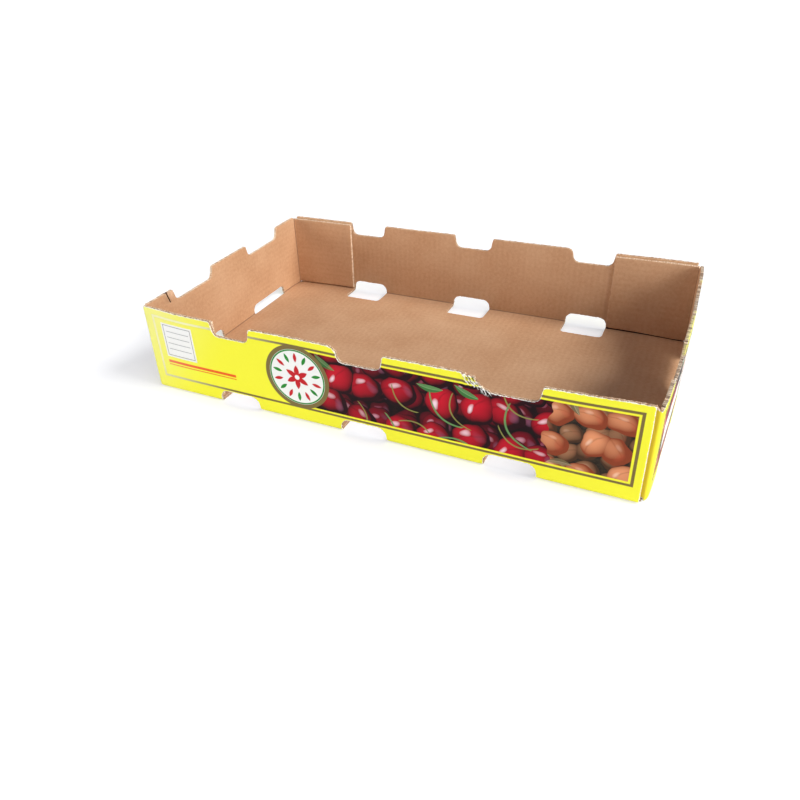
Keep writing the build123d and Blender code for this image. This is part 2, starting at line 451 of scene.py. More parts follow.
# %% Springing, bowing and bending
back_lean = math.radians(1.2)
front_bow = 2.6
right_bow = 3.6            # in the middle of the right wall
right_bulge = 3.2          # over all of it
bow_at_foot = 0.7          # share of the bow that the wall's foot has too
left_spring = 0.5
top_waves = ((0.35, 31.0, 0.7), (0.25, 17.0, 2.1))     # size, period / 2 pi and phase along a long wall
end_waves = ((0.5, 37.0, 1.0),)
slit_push = 0.5            # inwards, of the piece between the slit and the notch
slit_lean = 0.3            # sideways for each millimetre down
slit_reach = 6.0
corner_lift, left_lift = 2.2, 2.4
foot_drop, foot_reach = 1.9, 2.5            # closes the holes under the back flaps' corners
notch_shift, notch_reach = 1.8, 12.0        # of the front wall's first merlon corner
cracks = (((97.0, 91.5), (102.5, 82.1)), ((101.2, 91.0), (107.6, 80.8)), ((107.4, 90.0), (113.6, 81.0)))
crack_ridge, crack_width = 1.3, 1.4
# Stretches over which a shift sets in, from the tray's middle outwards or from its foot upwards
long_walls, left_wall, right_wall = (60, 140), (180, 245), (190, 245)
slit_rise, notch_rise = (20, 45), (60, 80)
flap_corner = (128, 138)
left_lift_x, left_lift_y = (190, 244), (140, 145)
corner_lift_x, corner_lift_y = (150, 245), (146.2, 146.7)


def ramp(value, start, end):
    """0 before start, 1 after end, and an S-shaped step, 3t^2 - 2t^3, between."""
    t = np.clip((value - start) / (end - start), 0, 1)
    return t * t * (3 - 2 * t)


def hump(distance, reach):
    """1 at distance 0, fading to both sides as exp(-(distance / reach)^2)."""
    return np.exp(-(distance / reach) ** 2)


def waves(place, parts):
    """Sum of size * sin(place / period + phase)."""
    return sum(size * np.sin(place / period + phase) for size, period, phase in parts)


def stroke_distance(x, y, start, end):
    """Distance from a straight stroke: the point's place along it, held to the stroke, and what is left."""
    run, rise = end[0] - start[0], end[1] - start[1]
    share = np.clip(((x - start[0]) * run + (y - start[1]) * rise) / (run * run + rise * rise), 0, 1)
    return np.hypot(x - start[0] - share * run, y - start[1] - share * rise)


def handled(points):
    """Each point shifted by the sum of the tray's distortions at its place."""
    x, y, z = points.T
    rise = np.clip(z / height, 0, 1)
    middle = 1 - np.clip(np.abs(x) / wall_end, 0, 1) ** 2
    end_middle = np.sqrt(1 - np.clip(np.abs(y) / end_wall_edge, 0, 1) ** 2)
    near_back, near_front = ramp(y, *long_walls), ramp(-y, *long_walls)
    near_left, near_right = ramp(-x, *left_wall), ramp(x, *right_wall)
    ridges = sum(hump(stroke_distance(x, z, *crack), crack_width) for crack in cracks)
    wander, sway = waves(x, top_waves), waves(y, end_waves) * rise
    first_corner = long_places[0] - notches["mouth"] / 2
    # Sideways: the long walls' lean, bow and ridges, and the slit's lean
    near_slit = near_left * hump(y - slit_place, slit_reach) * ramp(z, *slit_rise)
    shift_y = near_back * (math.tan(back_lean) * z + wander * rise)
    shift_y -= near_front * (rise * (front_bow * middle + wander) + crack_ridge * ridges)
    shift_y += near_slit * slit_lean * np.clip(height - z, 0, height - slit_floor)
    # Along the tray: the end walls' sway and bow, the piece beside the slit, and the first notch
    beside_slit = ramp(y, slit_place - 0.3, slit_place + 0.3) * ramp(rubbed_left + 6 - y, 0, 4)
    shift_x = (near_left + near_right) * sway - near_left * left_spring * rise
    shift_x += near_right * (right_bulge + right_bow * end_middle * (bow_at_foot + (1 - bow_at_foot) * rise))
    shift_x += near_left * beside_slit * ramp(z, slit_floor - 4, height) * slit_push
    shift_x += near_front * hump(x - first_corner, notch_reach) * ramp(z, *notch_rise) * notch_shift
    # Up and down: the feet of the back flaps' creases, and the front wall's ends
    shift_z = -foot_drop * (near_left + near_right) * ramp(y, *flap_corner) * hump(z - flap_foot, foot_reach)
    shift_z += left_lift * rise * ramp(-x, *left_lift_x) * ramp(-y, *left_lift_y)
    shift_z += corner_lift * rise * ramp(x, *corner_lift_x) * ramp(-y, *corner_lift_y)
    return points + np.column_stack([shift_x, shift_y, shift_z])


print("top of the back wall springs out by", round(math.tan(back_lean) * height, 1), "mm")

# %% [markdown]
# ## Three papers
#
# The outer and inner liner lie at the two faces of the board, and the fluting swings between them.
# Where a liner is glued to a crest of the wave it is drawn in a little, which gives board its faint
# ripple. Along every cut edge the die has pinched the papers together, so the depth of each one also
# depends on its distance from the nearest edge.

# %% Depths of the papers
ripple = 0.013
pinch_reach = 2.2
outer_pinch, inner_pinch = 0.15, 0.3
fuzz_reach = 0.9            # within this distance of a cut the torn fibres stand up, and papers look thicker
liner_fuzz = 0.2
fuzz_across, fuzz_along = 0.35, 1.4         # the fluting's, where a cut crosses the waves and along them
wave = 2 * math.pi / flute_pitch
grain = np.random.default_rng(7)


def open_edges(faces, count):
    """Edges that only one face uses, in that face's direction: a face's edge whose reverse is missing."""
    start = faces.ravel()
    end = np.roll(faces, -1, axis=1).ravel()
    alone = ~np.isin(start * count + end, end * count + start)
    return start[alone], end[alone]


def distance_to_edge(points, faces, seam):
    """Distance of each point from the nearest cut edge, measured on the flat blank.

    Each is the smallest distance to a point of the outline, in blocks to spare memory. The seam, where
    the bands meet, isn't a cut: an outline point that lies on it doesn't count.
    """
    start, end = open_edges(faces, len(points))
    rim = np.unique(np.concatenate([points[start], (points[start] + points[end]) / 2]), axis=0)
    rim = rim[~seam(rim)]
    blocks = np.array_split(points, max(1, len(points) // 500))
    near = [np.sqrt(((block[:, None] - rim) ** 2).sum(axis=2).min(axis=1)) for block in blocks]
    return np.concatenate(near)


def end_seam(points):
    """The line where an end band's crease starts. The band holds nothing else that far in."""
    return np.abs(np.abs(points[:, 0]) - hinge_x) < 0.01


def long_seam(points):
    """The part of that line where the base meets the end bands, between their slots."""
    clear = np.abs(np.subtract.outer(np.abs(points[:, 1]), end_places)).min(axis=1) > end_slots["width"] / 2
    return end_seam(points) & (np.abs(points[:, 1]) < end_wall_edge) & clear


def depths(s, edge, medium_fuzz):
    """Depths of the outer liner's outside and the inner liner's inside, and both papers' thicknesses.

    The pinch and the fuzz both fade from the cut inwards as a hump does.
    """
    pinch, fuzz = hump(edge, pinch_reach), hump(edge, fuzz_reach)
    drawn_in = ripple * (1 - np.cos(wave * s))
    outside = drawn_in + outer_pinch * pinch
    inside = board - ripple * (1 + np.cos(wave * s)) - inner_pinch * pinch
    return outside, inside, liner + liner_fuzz * fuzz, medium + medium_fuzz * fuzz


edge_depths = [round(float(depth[0]), 2) for depth in depths(np.zeros(1), np.zeros(1), fuzz_across)]
print("at a cut edge: both faces' depths and the papers' thicknesses", edge_depths)

# %% [markdown]
# A paper is two skins a little apart, joined by a rim along every open edge, which makes it a closed
# solid. The same recipe makes all three. Only the depths differ, and the wave's skins also slide
# along s, so that its paper is as thick on the slopes as on the crests.

# %% From a flat band to a closed, folded paper
ragged_across, ragged_along = 0.18, 0.09    # the right wall's rim, worn more, is as ragged as one across


def frayed(points, faces, ragged):
    """The flat points with those on the outline shifted at random, as torn fibres leave a cut edge."""
    start, _ = open_edges(faces, len(points))
    rim = np.unique(start)
    rim = rim[~end_seam(points[rim])]
    moved = points.copy()
    moved[rim] += grain.normal(0, ragged, (len(rim), 2))
    return moved


def closed(faces, low, high):
    """Points and faces of a closed sheet from its two skins. low faces away from the tray's inside."""
    count = len(low)
    start, end = open_edges(faces, count)
    rim = np.column_stack([start, end, end + count, start + count])
    return np.concatenate([low, high]), faces[:, ::-1], faces + count, rim


def skins(paper, points, edge, fold, medium_fuzz):
    """The two folded skins of a paper: outer liner, fluting or inner liner."""
    s, v = points.T
    outside, inside, liner_here, medium_here = depths(s, edge, medium_fuzz)
    if paper == "outer":
        pair = [(s, outside), (s, outside + liner_here)]
    elif paper == "inner":
        pair = [(s, inside - liner_here), (s, inside)]
    else:
        half = medium_here / 2
        swing = (inside - outside) / 2 - liner_here - half
        slope = np.arctan(-swing * wave * np.sin(wave * s))
        centre = (outside + inside) / 2 + swing * np.cos(wave * s)
        pair = [
            (s + half * np.sin(slope), centre - half * np.cos(slope)),
            (s - half * np.sin(slope), centre + half * np.cos(slope)),
        ]
    return [handled(fold(along, v, depth)) for along, depth in pair]


def add_piece(name, parts, materials):
    """A mesh object from closed parts. Its UV maps hold every corner's place on the flat blank and its
    distance from the nearest cut.

    Each part is (flat points, distances, low faces, high faces, rim faces, folded points). Faces take
    the first material on the low skin, the second on the high skin and the third on the rim.
    """
    counts = np.cumsum([0] + [len(folded) for *_, folded in parts])
    vertices = np.concatenate([folded for *_, folded in parts]) * mm
    flat = np.concatenate([np.tile(points, (2, 1)) for points, *_ in parts]) * mm
    cut = np.concatenate([np.tile(edge, 2) for _, edge, *_ in parts]) * mm
    groups = [
        np.concatenate([part[skin] + start for part, start in zip(parts, counts)]) for skin in (2, 3, 4)
    ]
    faces = np.concatenate(groups)
    mesh = bpy.data.meshes.new(name)
    mesh.from_pydata(vertices.tolist(), [], faces.tolist())
    mesh.polygons.foreach_set("material_index", np.repeat([0, 1, 2], [len(group) for group in groups]))
    mesh.polygons.foreach_set("use_smooth", np.repeat([True, True, False], [len(group) for group in groups]))
    mesh.uv_layers.new(name="blank").data.foreach_set("uv", flat[faces].ravel())
    mesh.uv_layers.new(name="cut").data.foreach_set("uv", np.repeat(cut[faces].ravel(), 2))
    for material in materials:
        mesh.materials.append(material)
    piece = bpy.data.objects.new(name, mesh)
    bpy.context.scene.collection.objects.link(piece)
    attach(piece, "root")
    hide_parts("tray")
    print(name, "has", 2 * len(faces), "triangles")
    return piece


def folded_paper(paper, samples, row_step, column_step):
    """The long band and both end bands of one paper, each closed and folded."""
    left, right = (
        welded(end_side(side, wall, flute_pitch / samples, column_step))
        for side, wall in ((-1, "left"), (1, "right"))
    )
    bands = [
        (long_band(samples, row_step), long_seam, fold_long, ragged_across, fuzz_across),
        (slit_open(*left), end_seam, fold_end, ragged_along, fuzz_along),
        (right, end_seam, fold_end, ragged_across, fuzz_along),
    ]
    parts = []
    for (points, faces), seam, fold, ragged, fuzz in bands:
        edge = distance_to_edge(points, faces, seam)
        torn = frayed(points, faces, ragged)
        low, high = skins(paper, torn, edge, fold, fuzz)
        folded, low_faces, high_faces, rim = closed(faces, low, high)
        parts.append((torn, edge, low_faces, high_faces, rim, folded))
    return parts


# %% [markdown]
# ## Colours and node formulas
#
# Shader maths is easier to read as formulas than as wires. `Formula` wraps a node's output so that
# `a * b + 1` adds the Math nodes, and a mask is 0 or 1 with a soft step between. Colours are given as
# they look on a screen, 0 to 255, and turned into the linear values that light is reckoned in.

# %% Formulas and layers of colour


def screen_colour(red, green, blue):
    """Linear colour from screen values: c / 12.92 when dark, else ((c + 0.055) / 1.055) ^ 2.4."""
    c = np.array([red, green, blue]) / 255
    linear = np.where(c <= 0.04045, c / 12.92, ((c + 0.055) / 1.055) ** 2.4)
    return (*linear.tolist(), 1.0)


def feed(tree, slot, value):
    """Brings a formula or a node's output to an input, or sets a plain number or colour on it."""
    if isinstance(value, Formula):
        value = value.socket
    if isinstance(value, bpy.types.NodeSocket):
        tree.links.new(value, slot)
    else:
        slot.default_value = value


class Formula:
    """A number that varies over a surface: one output of a shader node."""

    def __init__(self, tree, socket):
        self.tree = tree
        self.socket = socket

    def node(self, operation, *values, clamp=False):
        """A Math node that works on this and the other values."""
        node = self.tree.nodes.new("ShaderNodeMath")
        node.operation = operation
        node.use_clamp = clamp
        for slot, value in zip(node.inputs, (self, *values)):
            feed(self.tree, slot, value)
        return Formula(self.tree, node.outputs[0])

    def __add__(self, other):
        return self.node("ADD", other)

    def __sub__(self, other):
        return self.node("SUBTRACT", other)

    def __mul__(self, other):
        return self.node("MULTIPLY", other)

    def __abs__(self):
        return self.node("ABSOLUTE")

    __radd__ = __add__
    __rmul__ = __mul__

    def __rsub__(self, other):
        return self.node("MULTIPLY_ADD", -1.0, other)

    def over(self, level, blur=0.3):
        """Mask: 1 where this is above the level, 0 below, and a soft step of width blur."""
        return (self - level).node("MULTIPLY_ADD", 1 / blur, 0.5, clamp=True)

    def under(self, level, blur=0.3):
        """Mask: 1 where this is below the level."""
        return (self - level).node("MULTIPLY_ADD", -1 / blur, 0.5, clamp=True)


def blank_place(tree, uv_map="blank"):
    """The place on the flat blank, s and v, in millimetres. From the map "cut": the distance from a cut."""
    uv = tree.nodes.new("ShaderNodeUVMap")
    uv.uv_map = uv_map
    split = tree.nodes.new("ShaderNodeSeparateXYZ")
    feed(tree, split.inputs[0], uv.outputs["UV"])
    return tuple(Formula(tree, split.outputs[axis]) * (1 / mm) for axis in range(2))


def joined(tree, x, y, z=0.0):
    """A vector output from three values."""
    combine = tree.nodes.new("ShaderNodeCombineXYZ")
    for slot, value in zip(combine.inputs, (x, y, z)):
        feed(tree, slot, value)
    return combine.outputs[0]


def noise(tree, x, y, size, detail=2.0, roughness=0.5, seed=0.0):
    """Smooth noise with patches of about the given size, mostly between 0.3 and 0.7."""
    texture = tree.nodes.new("ShaderNodeTexNoise")
    place = joined(tree, x * (1 / size), y * (1 / size), seed)
    for name, value in (("Vector", place), ("Scale", 1.0), ("Detail", detail), ("Roughness", roughness)):
        feed(tree, texture.inputs[name], value)
    return Formula(tree, texture.outputs[0])


def layer(tree, mask, over, below):
    """The colour below, covered by the other one where the mask is 1."""
    mix = tree.nodes.new("ShaderNodeMix")
    mix.data_type = "RGBA"
    for slot, value in ((mix.inputs[0], mask), (mix.inputs[6], below), (mix.inputs[7], over)):
        feed(tree, slot, value)
    return mix.outputs[2]


def coats(tree, below, *covers):
    """The colour below, covered in turn by others, each given as its mask and its colour."""
    for mask, over in covers:
        below = layer(tree, mask, over, below)
    return below


def new_material(name, roughness):
    """A material with one Principled shader, and its node tree."""
    material = bpy.data.materials.new(name)
    material.use_nodes = True
    shader = material.node_tree.nodes["Principled BSDF"]
    shader.inputs["Roughness"].default_value = roughness
    return material, material.node_tree, shader


def add_bump(tree, shader, relief, height_mm):
    """Relief of the given height, where the formula is 0 in the hollows and 1 on the ridges."""
    bump = tree.nodes.new("ShaderNodeBump")
    bump.inputs["Distance"].default_value = height_mm * mm
    feed(tree, bump.inputs["Height"], relief)
    feed(tree, shader.inputs["Normal"], bump.outputs[0])


print("mid grey on a screen is", round(screen_colour(128, 128, 128)[0], 3), "in linear light")

# %% [markdown]
# ## Brown paper
#
# Kraft liner is never one brown. Its fibres clump into mottles a few millimetres wide, they lie along
# the paper's own length, which is across the flutes, and a few pale or dark shives stand out. The
# glue at each crest of the wave darkens the paper in faint stripes, and the creases are darker, as
# pressed paper with painted shade in the fold. All of it follows the blank's own s and v, so that it
# runs round the creases as paper does.

# %% Kraft liner
kraft = screen_colour(203, 158, 118)
kraft_dark = screen_colour(177, 131, 94)
kraft_pale = screen_colour(222, 186, 152)
# the creases' colour: pressed paper with painted shade in the fold
pressed_crease_shade = screen_colour(112, 78, 56)
slit_shade = screen_colour(82, 46, 24)
# painted shade: the dark gap under a flap
painted_flap_gap_shade = screen_colour(34, 20, 13)
painted_light_from = 87.0          # past the hinge along s, the piece between the slit and the notch is painted paler, as painted light


def crease_line(place, hinge, share, blur):
    """Mask: 1 near the middle of the creases at both hinges, up to a share of their run to each side."""
    return abs(abs(place) - (hinge + crease_run / 2)).under(crease_run * share, blur)


def kraft_material(name, tint=1.0):
    """Brown paper: mottle, fibres, shives, glue stripes and a darker line at each crease, with painted shade.
    """
    material, tree, shader = new_material(name, 0.82)
    shader.inputs["Specular IOR Level"].default_value = 0.25
    s, v = blank_place(tree)
    cloud = noise(tree, s, v, 55.0, 3.0, seed=1.0)
    mottle = noise(tree, s, v, 3.4, 3.0, 0.6, seed=2.0)
    fibre = noise(tree, s * 0.28, v, 0.5, 2.0, 0.6, seed=3.0)
    shive = noise(tree, s * 0.5, v, 1.1, 1.0, 0.5, seed=4.0)
    stripe = (s * wave).node("COSINE") * noise(tree, s, v * 0.2, 9.0, 2.0, seed=5.0)
    tone = (cloud - 0.5) * 0.5 + (mottle - 0.5) * 0.45 + (fibre - 0.5) * 0.25 + stripe * 0.04 + 0.5
    in_base = abs(s).under(hinge_x)
    long_creases = crease_line(v, hinge_y, 0.4, 1.5) * in_base
    level_creases = long_creases.node("MAXIMUM", crease_line(s, hinge_x, 0.4, 1.5))
    upright_creases = crease_line(v, end_wall_edge, 0.25, 2.0) * (1.0 - in_base)
    behind_flap = s.over(long_places[-1] + notches["mouth"] / 2, 2.0) * in_base
    # painted shade along the crease under the flaps at the right end
    shade_under_flap = abs(abs(v) - (hinge_y + crease_run * 0.7)).under(crease_run * 0.82, 0.5) * behind_flap
    from_cut = blank_place(tree, "cut")[0]
    beside_slit = v.over(slit_place) * v.under(rubbed_left + 1.0) * s.under(-(hinge_x + painted_light_from), 7.0)
    colour = coats(
        tree, kraft,
        (tone.node("MULTIPLY_ADD", -1.6, 1.3, clamp=True) * 0.75, kraft_dark),
        (tone.over(0.62, 0.5) * 0.55, kraft_pale),
        (shive.over(0.72, 0.06) * 0.45, kraft_pale),
        (shive.under(0.26, 0.05) * 0.35, kraft_dark),
        # painted shade in the folds, along with the pressed paper's own darkening
        (level_creases * 0.6, pressed_crease_shade),
        (upright_creases * 0.7, pressed_crease_shade),
        (shade_under_flap, painted_flap_gap_shade),
        (from_cut.under(0.45, 0.3) * mottle.over(0.5, 0.2) * 0.7, kraft_pale),
        # painted light on the piece beside the slit, which is bent towards the lamps
        (beside_slit * mottle.over(0.42, 0.2) * 0.85, kraft_pale),
    )
    if tint != 1.0:
        darker = tuple(value * tint for value in kraft_dark[:3])
        colour = layer(tree, 0.6, (*darker, 1.0), colour)
    feed(tree, shader.inputs["Base Color"], colour)
    add_bump(tree, shader, fibre * 0.5 + mottle * 0.5, 0.03)
    return material


kraft_face = kraft_material("kraft liner")
flute_paper = kraft_material("fluting paper", 0.8)
print("brown papers:", kraft_face.name, "and", flute_paper.name)

# %% [markdown]
# Where the die cuts through, each paper shows its core: white for the outer liner's bleached top, and
# pale brown for the other papers. Fibres stand up there and catch dirt, so the edge is speckled. The
# right wall's rim has been knocked most: it is painted darker in patches, as painted shade in its open
# flutes, and in places the print is turned over it.

# %% Cut edges
# painted shade of the open flutes, in patches on the right wall's rim
rim_flute_shade = screen_colour(122, 100, 82)
turned_print = screen_colour(252, 250, 150)
turned_places = ((-3.0, 34.0), (103.0, 1.5))        # middles and half widths along the right wall


def edge_material(name, pale, dirty, reached):
    """A cut edge: two colours in specks about half a millimetre wide.

    reached says how much this paper shows of the print that is turned over the right wall's rim.
    """
    material, tree, shader = new_material(name, 0.9)
    s, v = blank_place(tree)
    speck = noise(tree, s, v, 1.3, 3.0, 0.7, seed=8.0)
    on_right = s.over(hinge_x + crease_run) * abs(v).under(end_wall_edge)
    patches = noise(tree, s, v, 6.0, 3.0, 0.6, seed=18.0)
    turned = sum(abs(v - middle).under(half, 2.0) for middle, half in turned_places)
    in_slit = abs(v - slit_place).under(2.0, 0.3) * s.under(-hinge_x - crease_run)
    colour = coats(
        tree, dirty,
        # painted shade of the open flutes, in patches on the right wall's rim
        (on_right * patches.over(0.4, 0.12) * 0.9, rim_flute_shade),
        ((speck - on_right * 0.04).over(0.49, 0.14), pale),
        (turned * on_right * patches.under(0.56, 0.08) * reached, turned_print),
        (in_slit, slit_shade),
    )
    feed(tree, shader.inputs["Base Color"], colour)
    return material


edge_pale, edge_dirty = screen_colour(246, 222, 190), screen_colour(184, 142, 106)
white_core, white_dirty = screen_colour(248, 242, 228), screen_colour(214, 190, 158)
white_edge = edge_material("cut white-top liner", white_core, white_dirty, 1.0)
wave_edge = edge_material("cut fluting", edge_pale, edge_dirty, 0.3)
brown_edge = edge_material("cut brown liner", edge_pale, edge_dirty, 0.0)
print("edges:", [edge.name for edge in (white_edge, wave_edge, brown_edge)])

# %% [markdown]
# ## The print
#
# The outside is flooded yellow, with an olive frame line round each wall. A dark band holds red fruit
# between the lines, and a ringed medallion stands at its left. The fruit, the leaves and the medallion
# are plain ornaments made for this lesson.
#
# They could be painted on an image, but an image blurs up close and has to be kept beside the model.
# Drawn as formulas they stay sharp. First each wall gets its own pair of coordinates: `across`, which
# runs to the right as the wall is seen from outside, and `up`, its height.

# %% Coordinates on the walls
yellow = screen_colour(250, 246, 60)
yellow_deep = screen_colour(240, 228, 34)
olive = screen_colour(126, 108, 62)
print_white = screen_colour(246, 245, 240)
line_low, line_high = 17.0, 84.4            # the frame line's middle, up every wall
line_width = 2.4
picture_gap = 1.9                           # between the line and the pictures
long_frame = (-233.5, 237.0)                # the frame's ends, across a long wall
end_frame = 137.5                           # and to both sides of an end wall's middle
bleed = 4.0                                 # how far the ink runs under the base


def wall_places(tree):
    """across and up on every wall, in millimetres, and a mask of the end walls."""
    s, v = blank_place(tree)
    on_end = abs(s).over(wall_end + 2.0, 1.0)
    across_long, across_end = s * v.node("SIGN") * -1.0, v * s.node("SIGN")
    up_long, up_end = abs(v) - sheet_line(0.0, hinge_y), abs(s) - sheet_line(0.0, hinge_x)
    across = across_long + (across_end - across_long) * on_end
    up = up_long + (up_end - up_long) * on_end
    return s, v, across, up, on_end


def box_distance(x, y, left, right, low, high):
    """Distance outside a rectangle, negative inside: the larger of the two gaps to its sides."""
    over_x = abs(x - (left + right) / 2) - (right - left) / 2
    over_y = abs(y - (low + high) / 2) - (high - low) / 2
    return over_x.node("MAXIMUM", over_y)


print("frame lines at", line_low, "and", line_high, "mm up every wall")

# %% [markdown]
# A heap of fruit is a Voronoi texture. It gives the middle of the nearest cell, so each point knows
# its own place on its fruit. Inside the fruit's radius the surface bulges as a ball, sqrt(1 - r^2),
# which gives a bright side, a dark rim and a highlight. A dimmer heap behind fills the gaps.

# %% Fruit and leaves


def nearest_cell(tree, x, y, size, jitter, shift, turn, start=0.0):
    """Place from the middle of the nearest cell, in cell sizes, plain and turned, and the cell's number.

    Each cell has its own random number c and is turned by the angle a = c * turn + start: the turned
    place is u cos a + w sin a along and w cos a - u sin a aside.
    """
    voronoi = tree.nodes.new("ShaderNodeTexVoronoi")
    voronoi.voronoi_dimensions = "2D"
    x, y = x * (1 / size) + shift[0], y * (1 / size) + shift[1]
    for name, value in (("Vector", joined(tree, x, y)), ("Scale", 1.0), ("Randomness", jitter)):
        feed(tree, voronoi.inputs[name], value)
    middle = tree.nodes.new("ShaderNodeSeparateXYZ")
    feed(tree, middle.inputs[0], voronoi.outputs["Position"])
    chance = tree.nodes.new("ShaderNodeSeparateColor")
    feed(tree, chance.inputs[0], voronoi.outputs["Color"])
    chance = Formula(tree, chance.outputs[0])
    u, w = x - Formula(tree, middle.outputs[0]), y - Formula(tree, middle.outputs[1])
    angle = chance * turn + start
    cosine, sine = angle.node("COSINE"), angle.node("SINE")
    return u, w, u * cosine + w * sine, w * cosine - u * sine, chance


def fruit_layer(tree, x, y, size, shift, below, rim, flesh, shine, sheen, gloss):
    """Round fruit over the colour below: dark rim, lit flesh, a seam and two highlights.

    Each fruit is an ellipse, turned by its own random number, and lit from the upper left.
    """
    u, w, along, aside, chance = nearest_cell(tree, x, y, size, 0.5, shift, 2.4, -1.2)
    along, aside = along * (1 / 0.52), aside * (1 / 0.45)
    r2 = along * along + aside * aside
    bulge = (1.0 - r2).node("MAXIMUM", 0.0).node("SQRT")
    lit = (bulge * 1.2 + (w - u) * 0.75 + chance * 0.5).node("SUBTRACT", 0.75, clamp=True)
    seam = abs(aside - 0.25 + along * along * 0.3).under(0.05, 0.08) * along.under(0.75, 0.3)
    gleam_u, gleam_w = along + 0.25, aside - 0.36
    gleam = (gleam_u * gleam_u * 0.8 + gleam_w * gleam_w * 2.2 - gleam_u * gleam_w * 0.6).under(0.045, 0.09)
    glint_u, glint_w = along - 0.42, aside - 0.1
    glint = (glint_u * glint_u * 1.5 + glint_w * glint_w * 0.8 + glint_u * glint_w).under(0.07, 0.14)
    colour = coats(
        tree, rim,
        (lit, flesh),
        (seam * 0.3, rim),
        (gleam * (chance * 0.7 + 0.3) * gloss, shine),
        (glint * chance.under(0.6) * (0.5 * gloss), sheen),
    )
    return layer(tree, r2.under(1.0, 0.07), colour, below)


def leaf_layer(tree, x, y, size, shift, below, blade, vein, rarity):
    """Pointed leaves over the colour below: the blade's half width is 1 - t^2 along its length."""
    _, _, along, aside, chance = nearest_cell(tree, x, y, size, 0.7, shift, 6.28)
    along = along * (1 / 0.36)
    bent = aside * (1 / 0.10) - along * along * 0.6
    inside = (1.0 - along * along - abs(bent)).over(0.0, 0.06) * chance.over(rarity, 0.02)
    colour = coats(tree, blade, (abs(bent).under(0.07, 0.05), vein), (bent.over(0.0, 0.1) * 0.35, vein))
    return layer(tree, inside, colour, below)


def stalk_layer(tree, x, y, size, shift, below, green):
    """Thin curved stalks: a parabola in each cell, turned by the cell's own random number."""
    _, _, along, aside, chance = nearest_cell(tree, x, y, size, 0.8, shift, 9.0)
    on_stalk = abs(aside - along * along * 1.4 + 0.06).under(0.014, 0.014) * abs(along).under(0.38, 0.02)
    return layer(tree, on_stalk * chance.over(0.25, 0.02), green, below)


# %% [markdown]
# A heap is a few rows of such fruit, the small and dark ones at the back. Noise warps the place that
# they are drawn at, so that no two are quite alike. The left heap is red with stalks and leaves, and
# the right one is apricots.

# %% Two heaps
lilac, blush = screen_colour(150, 92, 118), screen_colour(206, 92, 62)
# Each row, from the back: size, shift, rim, flesh, shine and gloss
red_rows = (
    (21.0, (0.3, 0.6), (18, 2, 7), (92, 8, 24), (160, 84, 104), 0.7),
    (27.0, (0.62, 0.1), (24, 2, 9), (136, 11, 32), (214, 158, 172), 1.0),
    (33.0, (0.1, 0.45), (34, 2, 11), (202, 20, 42), (250, 222, 226), 1.0),
)
apricot_rows = (
    (19.0, (0.4, 0.2), (70, 46, 30), (168, 118, 84), (214, 182, 154), 0.3),
    (25.0, (0.15, 0.4), (138, 62, 36), (232, 154, 108), (248, 214, 188), 0.6),
)
apricots_from = 172.0       # across a long wall
warp_size, warp_reach = 19.0, 9.0


def heap(tree, x, y, ground, rows, sheen):
    """Rows of fruit over the ground's colour."""
    for size, shift, rim, flesh, shine, gloss in rows:
        rim, flesh, shine = (screen_colour(*colour) for colour in (rim, flesh, shine))
        ground = fruit_layer(tree, x, y, size, shift, ground, rim, flesh, shine, sheen, gloss)
    return ground


def pictures(tree, across, up, heap_edge, mottle, on_long):
    """Both heaps, side by side: the apricots lie past the heap's edge on the long walls."""
    round_x, round_y = (
        place + (noise(tree, across, up, warp_size, 1.0, seed=seed) - 0.5) * warp_reach
        for place, seed in ((across, 15.0), (up, 16.0))
    )
    deep = mottle.over(0.6, 0.4)
    red = layer(tree, deep, screen_colour(34, 6, 11), screen_colour(13, 4, 6))
    red = heap(tree, round_x, round_y, red, red_rows, lilac)
    red = leaf_layer(tree, across, up, 34.0, (0.7, 0.2), red, screen_colour(66, 118, 62),
                     screen_colour(128, 170, 110), 0.9)
    red = stalk_layer(tree, across, up, 62.0, (0.2, 0.35), red, screen_colour(104, 150, 90))
    red = stalk_layer(tree, across, up, 50.0, (0.65, 0.1), red, screen_colour(138, 138, 72))
    apricot = layer(tree, deep, screen_colour(66, 54, 40), screen_colour(34, 28, 22))
    apricot = heap(tree, round_x, round_y, apricot, apricot_rows, blush)
    apricot = leaf_layer(tree, across, up, 30.0, (0.3, 0.65), apricot, screen_colour(118, 102, 72),
                         screen_colour(172, 158, 124), 0.5)
    return layer(tree, heap_edge.over(apricots_from) * on_long, apricot, red)


print("rows of fruit:", len(red_rows), "red and", len(apricot_rows), "of apricots")

# %% [markdown]
# The medallion is drawn in polar coordinates: rings are bands of radius, and the garland repeats one
# petal round the circle, green and red in turn. The label is a white square with lines to write on.

# %% Medallion and label
petal_red, petal_green = screen_colour(200, 30, 38), screen_colour(38, 140, 46)
petals, lobes = 14, 6
medallion_radius = 34.5
label_left, label_low, label_size = -225.0, 41.0, 38.0


